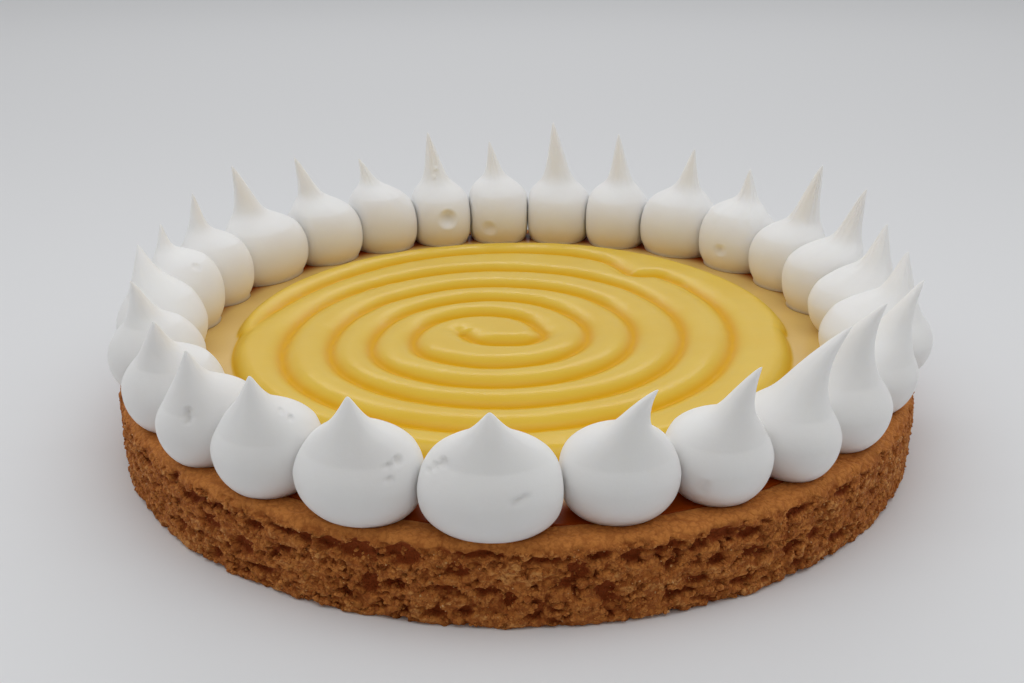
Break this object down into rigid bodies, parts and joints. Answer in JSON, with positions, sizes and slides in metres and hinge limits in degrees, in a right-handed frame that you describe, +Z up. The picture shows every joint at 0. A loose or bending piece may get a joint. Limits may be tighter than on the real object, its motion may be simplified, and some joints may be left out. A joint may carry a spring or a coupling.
{
  "type": "lemon meringue tart",
  "caption": "Round lemon meringue tart: a crumbly pastry case filled with curd piped in a spiral, ringed by pointed meringue kisses.",
  "frame": {"origin": "under the centre of the tart, on the surface it stands on", "axes": "+Z up through the tart, -Y towards the front, where meringue_01 stands"},
  "size_m": [0.2231, 0.2237, 0.061],
  "materials": {
    "pastry": "matt, crumbly baked shortcrust",
    "lemon_curd": "glossy set lemon curd",
    "meringue": "satin uncooked meringue"
  },
  "bodies": {
    "root": {"crust": "pastry", "curd": "lemon_curd", "meringue_01": "meringue", "meringue_02": "meringue", "meringue_03": "meringue", "meringue_04": "meringue", "meringue_05": "meringue", "meringue_06": "meringue", "meringue_07": "meringue", "meringue_08": "meringue", "meringue_09": "meringue", "meringue_10": "meringue", "meringue_11": "meringue", "meringue_12": "meringue", "meringue_13": "meringue", "meringue_14": "meringue", "meringue_15": "meringue", "meringue_16": "meringue", "meringue_17": "meringue", "meringue_18": "meringue", "meringue_19": "meringue", "meringue_20": "meringue", "meringue_21": "meringue", "meringue_22": "meringue", "meringue_23": "meringue", "meringue_24": "meringue", "meringue_25": "meringue", "meringue_26": "meringue", "meringue_27": "meringue"}
  },
  "joints": []
}
